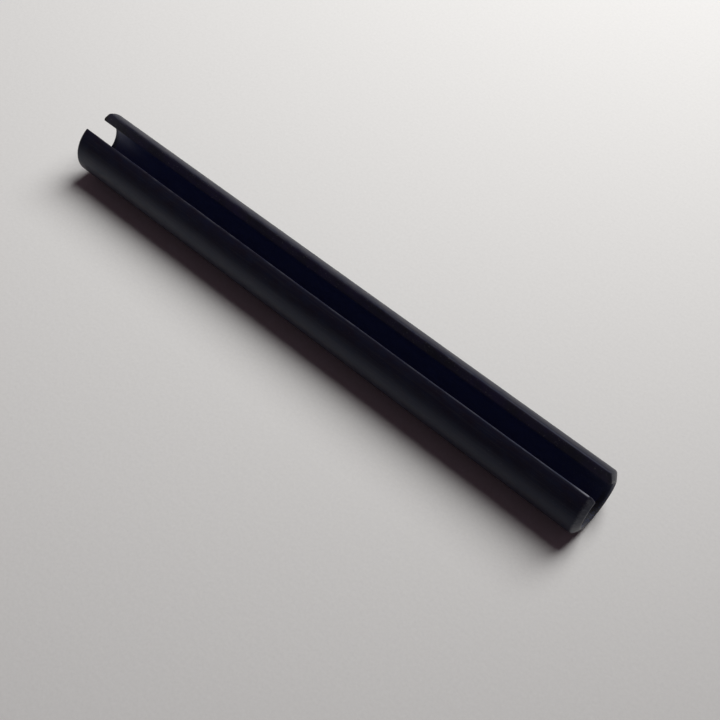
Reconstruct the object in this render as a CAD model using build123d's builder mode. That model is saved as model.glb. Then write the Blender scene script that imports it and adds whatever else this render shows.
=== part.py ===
from build123d import *
import os

# A slotted spring pin: spring steel strip rolled round into a C, with both ends narrowed so
# that it starts in a hole smaller than itself. It lies along X on the plane Z = 0, slot up.

# The rolled strip, in millimetres and degrees.
free_diameter = 8.5    # outside, before a hole squeezes the pin
pin_length = 80.5
wall_thickness = 1.36
slot_opening = 52.0    # the turn that the strip leaves open, seen from the pin's axis
outer_lip_round = 0.16    # the strip's long corners beside the slot, outside
inner_lip_round = 0.08    # and in the bore

# The nose at each end: a steep slope with a rounded shoulder, and a narrow flat left over.
nose_length = 0.55     # the slope's run along the pin, before its shoulder is rounded
shoulder_round = 0.5   # between the slope and the outside
end_land = 0.24        # width of the flat ring at the very end
mouth_bevel = 0.18     # round the mouth of the bore

free_radius = free_diameter / 2
bore_radius = free_radius - wall_thickness
nose_radius = bore_radius + mouth_bevel + end_land
half_length = pin_length / 2
slot_edge = 90 + slot_opening / 2
strip_turn = 360 - slot_opening
pin_axis = Axis((0, 0, free_radius), (1, 0, 0))

with BuildPart() as spring_pin:
    # The strip rolled into its C, still square at both ends.
    with BuildSketch(Plane.YZ) as c_section:
        with BuildLine():
            outside = CenterArc((0, free_radius), free_radius, slot_edge, strip_turn)
            bore = CenterArc((0, free_radius), bore_radius, slot_edge, strip_turn)
            Line(outside @ 0, bore @ 0)
            Line(outside @ 1, bore @ 1)
        make_face()
        fillet(c_section.vertices().group_by(Axis.Y)[-1], radius=outer_lip_round)
        bore_corners = c_section.vertices().sort_by_distance((0, free_radius))[:2]
        fillet(bore_corners, radius=inner_lip_round)
    extrude(amount=half_length, both=True)

    # The noses: only what fits inside a round bar with sloped ends is kept.
    with BuildSketch(Plane.XZ) as bar_section:
        with BuildLine():
            Polyline(
                (-half_length, free_radius),
                (-half_length, free_radius + nose_radius),
                (nose_length - half_length, free_diameter),
                (half_length - nose_length, free_diameter),
                (half_length, free_radius + nose_radius),
                (half_length, free_radius),
                close=True,
            )
        make_face()
        fillet(bar_section.vertices().group_by(Axis.Y)[-1], radius=shoulder_round)
    revolve(axis=pin_axis, mode=Mode.INTERSECT)

    # The bevelled mouths of the bore.
    with BuildSketch(Plane.XZ):
        with BuildLine():
            Polyline(
                (half_length, free_radius),
                (half_length, free_radius + bore_radius + mouth_bevel),
                (half_length - mouth_bevel, free_radius + bore_radius),
                (half_length - mouth_bevel, free_radius),
                close=True,
            )
        make_face()
        mirror(about=Plane.YZ)
    revolve(axis=pin_axis, mode=Mode.SUBTRACT)

spring_pin.part.label = "spring_pin"
os.makedirs("parts", exist_ok=True)
export_step(spring_pin.part, "parts/spring_pin.step")
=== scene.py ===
import math
from functools import partial
import bpy
from mathutils import Matrix, Vector


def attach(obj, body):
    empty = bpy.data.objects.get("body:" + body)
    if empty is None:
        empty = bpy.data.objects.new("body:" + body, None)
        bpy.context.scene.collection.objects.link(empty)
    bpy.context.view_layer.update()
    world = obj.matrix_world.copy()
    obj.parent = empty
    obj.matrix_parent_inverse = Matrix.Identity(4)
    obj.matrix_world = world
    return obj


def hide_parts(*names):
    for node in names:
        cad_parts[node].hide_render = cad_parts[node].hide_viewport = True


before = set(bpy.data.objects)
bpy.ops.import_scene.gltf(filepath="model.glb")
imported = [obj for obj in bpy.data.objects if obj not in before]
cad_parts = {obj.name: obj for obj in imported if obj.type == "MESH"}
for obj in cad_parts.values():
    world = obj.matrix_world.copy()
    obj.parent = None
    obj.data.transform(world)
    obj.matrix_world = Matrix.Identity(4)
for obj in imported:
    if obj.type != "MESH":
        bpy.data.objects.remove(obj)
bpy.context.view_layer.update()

mm = 0.001
rad = math.radians


# node helpers, the same for shaders and geometry
def addNode(tree, kind, **settings):
    node = tree.nodes.new(kind)
    for key, value in settings.items():
        setattr(node, key, value)
    return node


def feed(tree, socket, value):
    if isinstance(value, bpy.types.NodeSocket):
        tree.links.new(value, socket)
    elif value is not None:
        socket.default_value = value


def feedAll(tree, sockets, values):
    for socket, value in zip(sockets, values):
        feed(tree, socket, value)


def doMath(tree, operation, first, second=None, third=None, clamp=False):
    node = addNode(tree, "ShaderNodeMath", operation=operation, use_clamp=clamp)
    feedAll(tree, node.inputs, (first, second, third))
    return node.outputs[0]


def remap(tree, value, fromLow, fromHigh, toLow=0.0, toHigh=1.0, smooth=False):
    node = addNode(tree, "ShaderNodeMapRange")
    if smooth:
        node.interpolation_type = "SMOOTHSTEP"
    feedAll(tree, node.inputs, (value, fromLow, fromHigh, toLow, toHigh))
    return node.outputs[0]


def makeVector(tree, x, y, z):
    node = addNode(tree, "ShaderNodeCombineXYZ")
    feedAll(tree, node.inputs, (x, y, z))
    return node.outputs[0]


def splitVector(tree, vector):
    node = addNode(tree, "ShaderNodeSeparateXYZ")
    feed(tree, node.inputs[0], vector)
    return node.outputs


def addNoise(tree, vector, scale, detail, roughness):
    node = addNode(tree, "ShaderNodeTexNoise")
    feed(tree, node.inputs["Vector"], vector)
    feed(tree, node.inputs["Scale"], scale)
    feed(tree, node.inputs["Detail"], detail)
    feed(tree, node.inputs["Roughness"], roughness)
    return node.outputs["Fac"]


# the mix node repeats its socket names for each kind of value, so both mixes pick them by place
def mixFloat(tree, amount, first, second, clamp=True):
    node = addNode(tree, "ShaderNodeMix", data_type="FLOAT", clamp_factor=clamp)
    feedAll(tree, (node.inputs[0], node.inputs[2], node.inputs[3]), (amount, first, second))
    return node.outputs[0]


def mixColor(tree, amount, first, second):
    node = addNode(tree, "ShaderNodeMix", data_type="RGBA")
    first, second = ((*color, 1) if isinstance(color, tuple) else color for color in (first, second))
    feedAll(tree, (node.inputs[0], node.inputs[6], node.inputs[7]), (amount, first, second))
    return node.outputs[2]


# the pin's sizes in millimetres and degrees; the slot faces up and the pin lies along X
pinSizes = {
    "Length": 80.46,
    "Radius": 4.245,
    "Axis height": 4.2533,
    "Wall": 1.36,
    "Slot angle": 53.8,
    "Slot flare": 0.1,  # how much wider each lip opens at the ends
    "Outer lip round": 0.16,
    "Inner lip round": 0.09,
    "Nose run": 0.55,
    "Nose end radius": 3.31,
    "Shoulder round": 0.5,
    "Mouth bevel": 0.2,
    "Far mouth bevel": 0.05,
    "Mouth round": 0.06,
    "End round": 0.05,
    "Bore end share": 0.7,  # of the end round, on the bore's side
    "Slot turn far": 1.0,
    "Slot turn middle": -0.8,
    "Slot turn near": 0.9,
    "Lip wander": 0.02,
    "Wander scale": 0.22,
    "Wander seed": 40.0,
    "Lip falloff": 6.0,  # how quickly a lip's own bends die out round the pin
    "Left corner cut": 0.24,
    "Corner run": 0.5,
    "Sharp angle": 35.0,  # faces that meet at more than this have a hard edge
    "Bore material depth": 0.02,  # as a share of the wall
    "Cut face depth": 0.01,
    # how finely each part of the shape is cut up
    "Sections": 341,
    "Outside steps": 104,
    "Bore steps": 72,
    "Cut face steps": 3,
    "Corner steps": 4,
}


# the pin's shape: a flat, closed outline of the wall swept along X, then rolled into the C
def buildPinTree(materials):
    tree = bpy.data.node_groups.new("RolledPin", "GeometryNodeTree")
    tree.interface.new_socket("Geometry", in_out="OUTPUT", socket_type="NodeSocketGeometry")
    for name, value in pinSizes.items():
        kind = "NodeSocketInt" if isinstance(value, int) else "NodeSocketFloat"
        socket = tree.interface.new_socket(name, in_out="INPUT", socket_type=kind)
        socket.default_value = value
    size = addNode(tree, "NodeGroupInput").outputs
    calc = partial(doMath, tree)
    times = partial(doMath, tree, "MULTIPLY")
    over = partial(doMath, tree, "DIVIDE")
    plus = partial(doMath, tree, "ADD")
    less = partial(doMath, tree, "SUBTRACT")

    # outline of the wall laid flat: x runs round the pin at its outside, y through the wall
    turn = calc("RADIANS", less(360.0, size["Slot angle"]))
    stripWidth = times(turn, size["Radius"])
    outline = addNode(tree, "GeometryNodeCurvePrimitiveQuadrilateral")
    feed(tree, outline.inputs["Width"], stripWidth)
    feed(tree, outline.inputs["Height"], size["Wall"])
    position = addNode(tree, "GeometryNodeInputPosition").outputs[0]
    isOuter = calc("GREATER_THAN", splitVector(tree, position)[1], 0.0)
    lipRound = mixFloat(tree, isOuter, size["Inner lip round"], size["Outer lip round"])
    corners = addNode(tree, "GeometryNodeFilletCurve", mode="POLY")
    feed(tree, corners.inputs["Curve"], outline.outputs[0])
    feed(tree, corners.inputs["Count"], size["Corner steps"])
    feed(tree, corners.inputs["Radius"], lipRound)

    # only the last point of each corner is followed by a long side, which is cut into steps:
    # the outside follows corner 0, and the bore corner 2
    order = addNode(tree, "GeometryNodeInputIndex").outputs[0]
    slack = 0.1  # whole numbers are told apart within this
    perCorner = plus(size["Corner steps"], 1.0)
    isLast = calc("COMPARE", calc("MODULO", order, perCorner), size["Corner steps"], slack)
    corner = calc("FLOOR", over(order, perCorner))
    outerCuts = times(calc("COMPARE", corner, 0.0, slack), size["Outside steps"])
    boreCuts = times(calc("COMPARE", corner, 2.0, slack), size["Bore steps"])
    cuts = times(isLast, plus(plus(outerCuts, boreCuts), size["Cut face steps"]))
    stepped = addNode(tree, "GeometryNodeSubdivideCurve")
    feed(tree, stepped.inputs["Curve"], corners.outputs[0])
    feed(tree, stepped.inputs["Cuts"], cuts)
    keepFlat = addNode(tree, "GeometryNodeCaptureAttribute")
    keepFlat.capture_items.new("VECTOR", "Flat")
    feedAll(tree, keepFlat.inputs, (stepped.outputs[0], position))

    # path along X, its sections crowded towards both ends
    path = addNode(tree, "GeometryNodeCurvePrimitiveLine")
    feed(tree, path.inputs["End"], (1.0, 0.0, 0.0))
    sections = addNode(tree, "GeometryNodeResampleCurve")
    feed(tree, sections.inputs["Curve"], path.outputs[0])
    feed(tree, sections.inputs["Count"], size["Sections"])
    keepPath = addNode(tree, "GeometryNodeCaptureAttribute")
    keepPath.capture_items.new("FLOAT", "Share")
    pathShare = addNode(tree, "GeometryNodeSplineParameter").outputs["Factor"]
    feedAll(tree, keepPath.inputs, (sections.outputs[0], pathShare))
    sweep = addNode(tree, "GeometryNodeCurveToMesh")
    feed(tree, sweep.inputs["Curve"], keepPath.outputs[0])
    feed(tree, sweep.inputs["Profile Curve"], keepFlat.outputs[0])
    feed(tree, sweep.inputs["Fill Caps"], True)

    # place along the pin: inward is the distance from the nearer end
    share = calc("MULTIPLY_ADD", keepPath.outputs[1], 2.0, -1.0)
    fromEnd = less(1.0, calc("ABSOLUTE", share))
    halfLength = times(size["Length"], 0.5)
    inward = times(times(fromEnd, fromEnd), halfLength)
    along = times(calc("SIGN", share), less(halfLength, inward))
    spot = over(along, halfLength)

    # how far out the wall's two sides lie at this distance from the end
    rise = over(less(size["Radius"], size["Nose end radius"]), size["Nose run"])
    slope = plus(size["Nose end radius"], times(inward, rise))
    shoulder = calc("SMOOTH_MIN", size["Radius"], slope, size["Shoulder round"])
    endShort = calc("MAXIMUM", less(1.0, over(inward, size["End round"])), 0.0)
    endDrop = times(calc("POWER", endShort, 2.0), size["End round"])
    outerSide = less(shoulder, endDrop)
    isNear = calc("GREATER_THAN", along, 0.0)
    mouth = mixFloat(tree, isNear, size["Far mouth bevel"], size["Mouth bevel"])
    bevel = calc("SMOOTH_MAX", less(mouth, inward), 0.0, size["Mouth round"])
    boreRadius = less(size["Radius"], size["Wall"])
    boreSide = plus(plus(boreRadius, bevel), times(endDrop, size["Bore end share"]))
    flat = splitVector(tree, keepFlat.outputs[1])
    through = plus(over(flat[1], size["Wall"]), 0.5)
    side = mixFloat(tree, through, boreSide, outerSide, clamp=False)

    # the slot wanders a little round the pin, and its lips are not quite even
    ends = times(plus(size["Slot turn near"], size["Slot turn far"]), 0.5)
    bend = less(ends, size["Slot turn middle"])
    lean = times(less(size["Slot turn near"], size["Slot turn far"]), 0.5)
    slotTurn = plus(times(plus(times(bend, spot), lean), spot), size["Slot turn middle"])
    flatAngle = over(flat[0], size["Radius"])
    lipSide = calc("SIGN", flatAngle)
    waveSpot = makeVector(tree, along, times(lipSide, size["Wander seed"]), 0.0)
    wave = addNoise(tree, waveSpot, size["Wander scale"], detail=3.0, roughness=0.55)
    atLip = calc("POWER", over(calc("ABSOLUTE", flatAngle), times(turn, 0.5)), size["Lip falloff"])
    wander = times(times(less(wave, 0.5), size["Lip wander"]), atLip)
    flare = times(calc("RADIANS", size["Slot flare"]), times(spot, spot))
    opened = less(wander, times(times(flare, lipSide), atLip))

    # the left lip's corners are rubbed round at both ends
    cornerShort = calc("MAXIMUM", less(1.0, over(inward, size["Corner run"])), 0.0)
    cornerTurn = over(size["Left corner cut"], size["Radius"])
    cornerCut = times(calc("POWER", cornerShort, 2.0), cornerTurn)
    atLeftLip = times(calc("MAXIMUM", lipSide, 0.0), atLip)
    opened = less(opened, times(cornerCut, atLeftLip))

    # the flat strip is rolled up round the pin's axis
    angle = plus(plus(flatAngle, opened), calc("RADIANS", slotTurn))
    sideways = times(calc("SINE", angle), side)
    height = less(size["Axis height"], times(calc("COSINE", angle), side))
    rolled = addNode(tree, "ShaderNodeVectorMath", operation="SCALE")
    feed(tree, rolled.inputs[0], makeVector(tree, along, times(sideways, -1.0), height))
    feed(tree, rolled.inputs["Scale"], mm)

    # the finishes go by each spot's place on the strip: round, through and along
    store = addNode(tree, "GeometryNodeStoreNamedAttribute", data_type="FLOAT_VECTOR", domain="POINT")
    feed(tree, store.inputs["Geometry"], sweep.outputs[0])
    feed(tree, store.inputs["Name"], "wallSpot")
    wallSpot = makeVector(tree, times(flatAngle, size["Radius"]), through, along)
    feed(tree, store.inputs["Value"], wallSpot)
    place = addNode(tree, "GeometryNodeSetPosition")
    feed(tree, place.inputs["Geometry"], store.outputs[0])
    feed(tree, place.inputs["Position"], rolled.outputs[0])

    # hard edges only where the faces really meet at an angle
    edgeAngle = addNode(tree, "GeometryNodeInputMeshEdgeAngle").outputs[0]
    isSharp = calc("GREATER_THAN", edgeAngle, calc("RADIANS", size["Sharp angle"]))
    shade = addNode(tree, "GeometryNodeSetShadeSmooth", domain="EDGE")
    feed(tree, shade.inputs["Geometry"], place.outputs[0])
    feed(tree, shade.inputs["Selection"], isSharp)
    feed(tree, shade.inputs["Shade Smooth"], False)

    # one material for the outside and the noses, one for the bore, whose colours are raised and bluer as
    # painted light, and one for the slot's cut faces
    realize = addNode(tree, "GeometryNodeRealizeInstances")
    feed(tree, realize.inputs[0], shade.outputs[0])
    geometry = realize.outputs[0]
    isBore = calc("LESS_THAN", through, size["Bore material depth"])
    cutFrom = less(times(stripWidth, 0.5), size["Cut face depth"])
    isCut = calc("GREATER_THAN", calc("ABSOLUTE", flat[0]), cutFrom)
    for name, pick in (("steelOutside", True), ("steelBorePaintedLight", isBore), ("steelCutFace", isCut)):
        setMaterial = addNode(tree, "GeometryNodeSetMaterial")
        feedAll(tree, setMaterial.inputs, (geometry, pick, materials[name]))
        geometry = setMaterial.outputs[0]
    feed(tree, addNode(tree, "NodeGroupOutput").inputs[0], geometry)
    return tree


# an empty shader group with its named inputs and outputs
def startGroup(name, inputs, outputs):
    tree = bpy.data.node_groups.new(name, "ShaderNodeTree")
    for key in inputs:
        socket = tree.interface.new_socket(key, in_out="INPUT", socket_type="NodeSocketFloat")
        socket.default_value = 1.0
    for key in outputs:
        kind = "NodeSocketVector" if key == "Normal" else "NodeSocketFloat"
        tree.interface.new_socket(key, in_out="OUTPUT", socket_type=kind)
    return tree, addNode(tree, "NodeGroupInput").outputs, addNode(tree, "NodeGroupOutput").inputs


# the oxide's noises; a stretch under 1 draws them out along the pin
oxidePlan = {
    "cloudStretch": 0.5,
    "lineStretch": 0.02,
    "lineScale": 5.0,
    "speckStretch": 0.6,
    "speckScale": 7.0,
    "speckEdge": 0.8,
    "speckSpread": 0.25,
    "speckFade": 0.05,
    "speckHeight": 0.5,
    "reliefDepth": 0.02,  # millimetres
}


# shared finish: cloudy oxide, drawn lines along the pin and fine specks
def buildOxideGroup():
    tree, given, made = startGroup(
        "OxideFinish", ("Cloud scale", "Line strength", "Speck share", "Bump"),
        ("Cloud", "Lines", "Specks", "Normal"))
    times = partial(doMath, tree, "MULTIPLY")
    plus = partial(doMath, tree, "ADD")
    wallSpot = addNode(tree, "ShaderNodeAttribute", attribute_name="wallSpot").outputs["Vector"]
    across, through, along = splitVector(tree, wallSpot)

    def stretched(name):
        return makeVector(tree, times(along, oxidePlan[name]), across, through)

    clouds = addNoise(tree, stretched("cloudStretch"), given["Cloud scale"], detail=5.0, roughness=0.6)
    lines = addNoise(tree, stretched("lineStretch"), oxidePlan["lineScale"], detail=4.0, roughness=0.7)
    specks = addNoise(tree, stretched("speckStretch"), oxidePlan["speckScale"], detail=2.0, roughness=0.7)
    spread = times(given["Speck share"], oxidePlan["speckSpread"])
    edge = doMath(tree, "SUBTRACT", oxidePlan["speckEdge"], spread)
    speckMask = remap(tree, specks, edge, plus(edge, oxidePlan["speckFade"]), smooth=True)
    height = plus(times(lines, given["Line strength"]), times(specks, oxidePlan["speckHeight"]))
    bump = addNode(tree, "ShaderNodeBump")
    feed(tree, bump.inputs["Distance"], oxidePlan["reliefDepth"] * mm)
    feed(tree, bump.inputs["Strength"], given["Bump"])
    feed(tree, bump.inputs["Height"], height)
    feedAll(tree, made, (clouds, lines, speckMask, bump.outputs[0]))
    return tree


# where the wear lies, in millimetres
wearPlan = {
    # noises: scale, detail and roughness
    "roughNoise": (1.6, 4.0, 0.65),
    "fineNoise": (4.5, 3.0, 0.65),
    "stretchNoise": (0.55, 4.0, 0.7),
    "roughStretch": 1.5,
    "ragged": 0.3,
    # fades: their start and end, then the strength at both where it isn't 0 and 1
    "patches": (0.3, 0.65, 0.4, 1.0),
    "duller": (0.5, 0.25, 1.0, 0.5),
    "fine": (0.42, 0.58, 0.1, 1.25),
    "farToNear": (-1.0, 1.0),
    "wall": (-7.0, -2.5),
    "rim": (0.08, 0.01),
    "lipEdge": (0.24, 0.04),
    "stretches": (0.4, 0.65, 0.15, 1.0),
    "tipStart": (3.2, 0.95),
    "tipEnd": (0.66, 0.86),
    "tipEdge": (0.26, 0.1),
    "mouthDepth": (9.0, 0.8),
    "mouthSide": (-2.0, -5.5),
    "farRim": (0.8, 0.25),
}


# shared wear: where the noses and the slot's edges have lost their oxide
def buildWearGroup():
    tree, given, made = startGroup(
        "EndWear", ("Nose start", "Nose full", "Far share", "Lip share", "Wall share", "Rim wear and highlight"),
        ("Wear", "Bright", "Far rim", "Mouth shade"))
    calc = partial(doMath, tree)
    times = partial(doMath, tree, "MULTIPLY")
    less = partial(doMath, tree, "SUBTRACT")

    def ramp(value, name, smooth=False):
        return remap(tree, value, *wearPlan[name], smooth=smooth)

    def fade(value, name):
        return ramp(value, name, smooth=True)

    # where on the pin the spot is; the left side is positive across, the near half along
    wallSpot = addNode(tree, "ShaderNodeAttribute", attribute_name="wallSpot").outputs["Vector"]
    across, through, along = splitVector(tree, wallSpot)
    inward = less(pinSizes["Length"] / 2, calc("ABSOLUTE", along))
    halfStrip = rad(360 - pinSizes["Slot angle"]) / 2 * pinSizes["Radius"]
    toLip = less(halfStrip, calc("ABSOLUTE", across))
    isNear = calc("GREATER_THAN", along, 0.0)
    isFar = calc("LESS_THAN", along, 0.0)
    isLeft = calc("GREATER_THAN", across, 0.0)

    # the noses: worn in ragged patches, strongest on the shoulder, with a rubbed rim at the very end; the
    # lighter shoulder band and the rim are partly painted highlights
    roughSpot = makeVector(tree, times(along, wearPlan["roughStretch"]), across, through)
    rough = addNoise(tree, roughSpot, *wearPlan["roughNoise"])
    ragged = calc("ADD", inward, times(less(rough, 0.5), wearPlan["ragged"]))
    nose = remap(tree, ragged, given["Nose start"], given["Nose full"], smooth=True)
    share = remap(tree, along, *wearPlan["farToNear"], given["Far share"], 1.0)
    patches = ramp(rough, "patches")
    duller = fade(ragged, "duller")
    fine = ramp(addNoise(tree, wallSpot, *wearPlan["fineNoise"]), "fine")
    wall = remap(tree, across, *wearPlan["wall"], given["Wall share"], 1.0, smooth=True)
    nose = times(times(nose, share), times(patches, duller))
    nose = times(nose, times(wall, fine))
    # the rubbed rim is partly a painted highlight on the mouth's edge
    rim = times(ramp(inward, "rim"), times(share, patches))
    rim = times(rim, given["Rim wear and highlight"])

    # the lips' edges are worn in short stretches
    stretchSpot = makeVector(tree, along, 0.0, calc("SIGN", across))
    stretches = fade(addNoise(tree, stretchSpot, *wearPlan["stretchNoise"]), "stretches")
    lip = times(times(fade(toLip, "lipEdge"), stretches), given["Lip share"])
    feed(tree, made["Wear"], calc("MAXIMUM", nose, calc("MAXIMUM", lip, rim)))

    # bare metal and a painted highlight where the left lip's edge runs out into the near nose
    tip = times(times(fade(inward, "tipStart"), fade(inward, "tipEnd")), fade(toLip, "tipEdge"))
    tip = times(tip, times(isNear, isLeft))
    feed(tree, made["Bright"], times(tip, given["Lip share"]))

    # the far end is darker, in a ragged olive band
    feed(tree, made["Far rim"], times(fade(ragged, "farRim"), isFar))

    # painted shade: the bore's right wall is made darkest towards the near mouth
    mouth = times(ramp(inward, "mouthDepth"), ramp(across, "mouthSide"))
    feed(tree, made["Mouth shade"], times(mouth, isNear))
    return tree


# the oxide's levels between which each effect fades in
steelFades = {"cloud": (0.35, 0.65), "lines": (0.5, 0.66), "polish": (0.3, 0.7)}


# one of the steel materials; look holds its colours and levels
def makeSteel(name, look):
    material = bpy.data.materials.new(name)
    material.use_nodes = True
    tree = material.node_tree
    shader = tree.nodes["Principled BSDF"]
    oxide = addNode(tree, "ShaderNodeGroup", node_tree=oxideGroup)
    wear = addNode(tree, "ShaderNodeGroup", node_tree=wearGroup)
    for group, values in ((oxide, look["oxide"]), (wear, look["wear"])):
        for key, value in values.items():
            group.inputs[key].default_value = value
    cloud = remap(tree, oxide.outputs["Cloud"], *steelFades["cloud"])
    lines = remap(tree, oxide.outputs["Lines"], *steelFades["lines"], 0.0, look["lineShow"])
    worn = doMath(tree, "MULTIPLY", wear.outputs["Wear"], look["wearShow"], clamp=True)
    shade = doMath(tree, "MULTIPLY", wear.outputs["Mouth shade"], look["shadeShow"])
    specks = doMath(tree, "MULTIPLY", oxide.outputs["Specks"], look["speckShow"])
    color = mixColor(tree, cloud, look["dark"], look["light"])
    # coats from the bottom up; one dark colour serves both the far end's band and the mouth's painted shade
    coats = ((lines, "line"), (worn, "worn"), (wear.outputs["Bright"], "bareAndHighlight"),
             (wear.outputs["Far rim"], "darkEndAndShade"), (shade, "darkEndAndShade"), (specks, "speck"))
    for amount, coat in coats:
        color = mixColor(tree, amount, color, look[coat])
    feed(tree, shader.inputs["Base Color"], color)
    polish = remap(tree, oxide.outputs["Cloud"], *steelFades["polish"], look["smoothest"], look["roughest"])
    feed(tree, shader.inputs["Roughness"], polish)
    feed(tree, shader.inputs["Normal"], oxide.outputs["Normal"])
    feed(tree, shader.inputs["Specular IOR Level"], look["gloss"])
    feed(tree, shader.inputs["Specular Tint"], (*look["glossTint"], 1))
    return material


steelLooks = {
    "steelOutside": {
        "dark": (0.0118, 0.0092, 0.017),
        "light": (0.0095, 0.011, 0.0255),
        "line": (0.021, 0.0215, 0.029),
        "worn": (0.054, 0.054, 0.063),
        # light bare metal at the near tip, which is also a painted highlight
        "bareAndHighlight": (0.3, 0.3, 0.33),
        # dark colour for the far end's band and for the painted shade at the near mouth
        "darkEndAndShade": (0.011, 0.0115, 0.007),
        "speck": (0.08, 0.08, 0.085),
        "glossTint": (0.6, 0.7, 1.0),
        "lineShow": 0.8,
        "speckShow": 0.7,
        "wearShow": 1.0,
        "shadeShow": 0.0,
        "smoothest": 0.34,
        "roughest": 0.46,
        "gloss": 0.25,
        "oxide": {"Cloud scale": 1.1, "Line strength": 0.7, "Speck share": 0.5, "Bump": 0.5},
        "wear": {"Nose start": 0.84, "Nose full": 0.55, "Far share": 0.06, "Lip share": 0.7,
                 "Wall share": 1.0, "Rim wear and highlight": 1.0},
    },
    # the bore: the same oxide, its colours raised and made bluer as painted light inside the bore
    "steelBorePaintedLight": {
        "dark": (0.05, 0.06, 0.148),
        "light": (0.061, 0.078, 0.175),
        "line": (0.066, 0.082, 0.17),
        "worn": (0.046, 0.046, 0.047),
        "bareAndHighlight": (0.1, 0.1, 0.1),
        # dark colour for the painted shade in the bore near the near mouth, and for the far end's band
        "darkEndAndShade": (0.021, 0.025, 0.058),
        "speck": (0.14, 0.14, 0.13),
        "glossTint": (0.82, 0.87, 1.0),
        "lineShow": 0.4,
        "speckShow": 0.6,
        "wearShow": 5.0,
        "shadeShow": 0.9,
        "smoothest": 0.42,
        "roughest": 0.52,
        "gloss": 0.3,
        "oxide": {"Cloud scale": 0.7, "Line strength": 0.4, "Speck share": 0.8, "Bump": 0.6},
        "wear": {"Nose start": 1.0, "Nose full": 0.45, "Far share": 0.3, "Lip share": 0.0,
                 "Wall share": 0.12, "Rim wear and highlight": 0.4},
    },
    "steelCutFace": {
        "dark": (0.037, 0.039, 0.052),
        "light": (0.056, 0.048, 0.115),
        "line": (0.08, 0.077, 0.105),
        "worn": (0.06, 0.06, 0.06),
        "bareAndHighlight": (0.12, 0.12, 0.12),
        "darkEndAndShade": (0.03, 0.031, 0.026),
        "speck": (0.2, 0.2, 0.2),
        "glossTint": (0.82, 0.87, 1.0),
        "lineShow": 0.5,
        "speckShow": 0.8,
        "wearShow": 1.0,
        "shadeShow": 0.0,
        "smoothest": 0.42,
        "roughest": 0.52,
        "gloss": 0.3,
        "oxide": {"Cloud scale": 0.6, "Line strength": 0.4, "Speck share": 0.62, "Bump": 0.5},
        "wear": {"Nose start": 0.25, "Nose full": 0.1, "Far share": 0.3, "Lip share": 0.3,
                 "Wall share": 1.0, "Rim wear and highlight": 0.4},
    },
}
oxideGroup = buildOxideGroup()
wearGroup = buildWearGroup()
steels = {name: makeSteel(name, look) for name, look in steelLooks.items()}
print("finishes made")

# the pin piece: the tree runs on an empty holder, and its result is kept as plain mesh
pinTree = buildPinTree(steels)
holder = bpy.data.objects.new("pinHolder", bpy.data.meshes.new("pinHolder"))
bpy.context.scene.collection.objects.link(holder)
modifier = holder.modifiers.new("RolledPin", "NODES")
modifier.node_group = pinTree
for item in pinTree.interface.items_tree:
    if item.item_type == "SOCKET" and item.in_out == "INPUT":
        modifier[item.identifier] = pinSizes[item.name]
graph = bpy.context.evaluated_depsgraph_get()
pinMesh = bpy.data.meshes.new_from_object(holder.evaluated_get(graph))
bpy.data.objects.remove(holder)
pin = bpy.data.objects.new("springPin", pinMesh)
bpy.context.scene.collection.objects.link(pin)
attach(pin, "root")
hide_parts("spring_pin")
print("pin made:", len(pinMesh.polygons), "faces")

# the paper that the pin lies on; its fibres' height is in millimetres, its reach in metres
paperLook = {
    "shade": 0.81,
    "tint": (1.0, 0.993, 0.966),
    "grain": 0.026,
    "grainScale": 2600.0,
    "grainFade": (0.3, 0.7),
    "fibres": 0.35,
    "fibreScale": 900.0,
    "fibreHeight": 0.06,
    "roughness": 0.9,
    "reach": 1.6,
}
paper = bpy.data.materials.new("paper")
paper.use_nodes = True
paperTree = paper.node_tree
paperShader = paperTree.nodes["Principled BSDF"]
paperSpot = addNode(paperTree, "ShaderNodeTexCoord").outputs["Object"]
grain = addNoise(paperTree, paperSpot, paperLook["grainScale"], detail=3.0, roughness=0.7)
grainMix = remap(paperTree, grain, *paperLook["grainFade"])
low = tuple(paperLook["shade"] * part * (1 - paperLook["grain"]) for part in paperLook["tint"])
high = tuple(paperLook["shade"] * part * (1 + paperLook["grain"]) for part in paperLook["tint"])
feed(paperTree, paperShader.inputs["Base Color"], mixColor(paperTree, grainMix, low, high))
feed(paperTree, paperShader.inputs["Roughness"], paperLook["roughness"])
# the fibres stand up a little, so they show most where the light comes in low
fibres = addNoise(paperTree, paperSpot, paperLook["fibreScale"], detail=4.0, roughness=0.6)
fibreBump = addNode(paperTree, "ShaderNodeBump")
feed(paperTree, fibreBump.inputs["Distance"], paperLook["fibreHeight"] * mm)
feed(paperTree, fibreBump.inputs["Strength"], paperLook["fibres"])
feed(paperTree, fibreBump.inputs["Height"], fibres)
feed(paperTree, paperShader.inputs["Normal"], fibreBump.outputs[0])
reach = paperLook["reach"]
floorMesh = bpy.data.meshes.new("paperFloor")
floorCorners = [(-reach, -reach, 0), (reach, -reach, 0), (reach, reach, 0), (-reach, reach, 0)]
floorMesh.from_pydata(floorCorners, [], [(0, 1, 2, 3)])
floorMesh.materials.append(paper)
floor = bpy.data.objects.new("paperFloor", floorMesh)
bpy.context.scene.collection.objects.link(floor)
print("paper laid")

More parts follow.
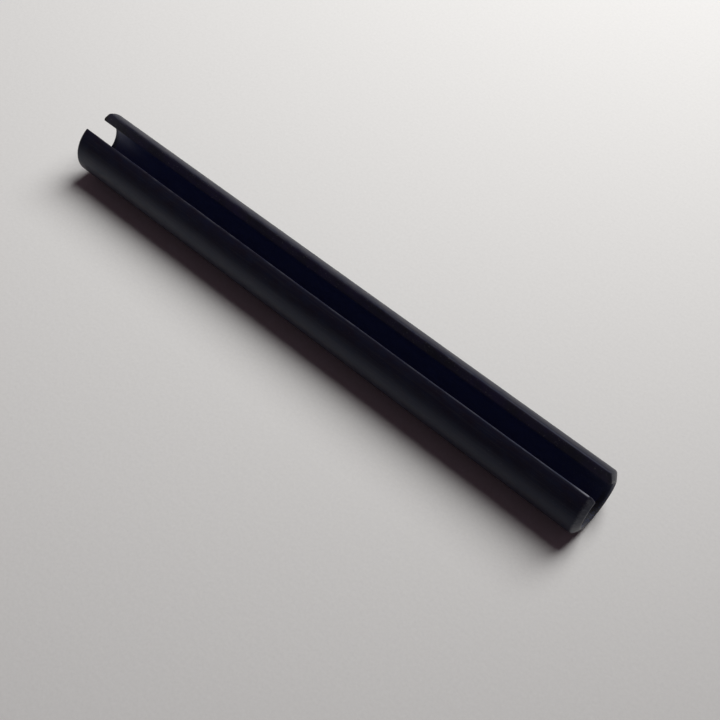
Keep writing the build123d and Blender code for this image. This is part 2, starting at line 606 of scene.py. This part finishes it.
# one round soft lamp, placed by its tilt off straight up and its turn round the pin; metres, degrees
lightPlan = {
    "keyPower": 1.2,
    "keyWidth": 0.255,
    "keyDistance": 0.3,
    "keyTilt": 32.5,
    "keyTurn": 175.5,
    "keyAim": (-0.335, 0.077, 0.0),
    "skyLevel": 0.042,
    "skyColor": (1.0, 0.68, 0.84),
}
keyData = bpy.data.lights.new("keyLamp", "AREA")
keyData.shape = "DISK"
keyData.energy = lightPlan["keyPower"]
keyData.size = lightPlan["keyWidth"]
keyLamp = bpy.data.objects.new("keyLamp", keyData)
keyTilt = rad(lightPlan["keyTilt"])
keyTurn = rad(lightPlan["keyTurn"])
keyWay = Vector((math.sin(keyTilt) * math.sin(keyTurn), -math.sin(keyTilt) * math.cos(keyTurn),
                 math.cos(keyTilt)))
keyLamp.location = keyWay * lightPlan["keyDistance"]
keyFacing = keyLamp.location - Vector(lightPlan["keyAim"])
keyLamp.rotation_euler = keyFacing.to_track_quat("Z", "Y").to_euler()
bpy.context.scene.collection.objects.link(keyLamp)
world = bpy.data.worlds.new("softRoom")
bpy.context.scene.world = world
world.use_nodes = True
background = world.node_tree.nodes["Background"]
background.inputs["Color"].default_value = (*lightPlan["skyColor"], 1)
background.inputs["Strength"].default_value = lightPlan["skyLevel"]
print("lamp set")

# the camera, in millimetres and degrees round the point that it looks at
cameraPlace = {
    "target": (8.614, -3.172, 4.29),
    "azimuth": 38.463,
    "elevation": 55.295,
    "roll": 3.53,
    "distance": 137.432,
    "nearest": 5.0,
    "lens": 58.924,
    "film": 36.0,
}
aimPoint = Vector(cameraPlace["target"]) * mm
azimuth = rad(cameraPlace["azimuth"])
elevation = rad(cameraPlace["elevation"])
back = Vector((math.sin(azimuth) * math.cos(elevation), -math.cos(azimuth) * math.cos(elevation),
               math.sin(elevation)))
cameraData = bpy.data.cameras.new("camera")
cameraData.lens = cameraPlace["lens"]
cameraData.sensor_width = cameraPlace["film"]
cameraData.clip_start = cameraPlace["nearest"] * mm
camera = bpy.data.objects.new("camera", cameraData)
# it is turned by its small roll about its own line of sight
right = Vector((0, 0, 1)).cross(back).normalized()
up = back.cross(right)
roll = rad(cameraPlace["roll"])
sideAxis = right * math.cos(roll) + up * math.sin(roll)
upAxis = up * math.cos(roll) - right * math.sin(roll)
cameraSpot = aimPoint + back * cameraPlace["distance"] * mm
camera.matrix_world = Matrix([list(row) for row in zip(sideAxis, upAxis, back, cameraSpot)] + [[0, 0, 0, 1]])
bpy.context.scene.collection.objects.link(camera)
bpy.context.scene.camera = camera
bpy.context.scene.view_settings.view_transform = "Standard"
print("camera set")
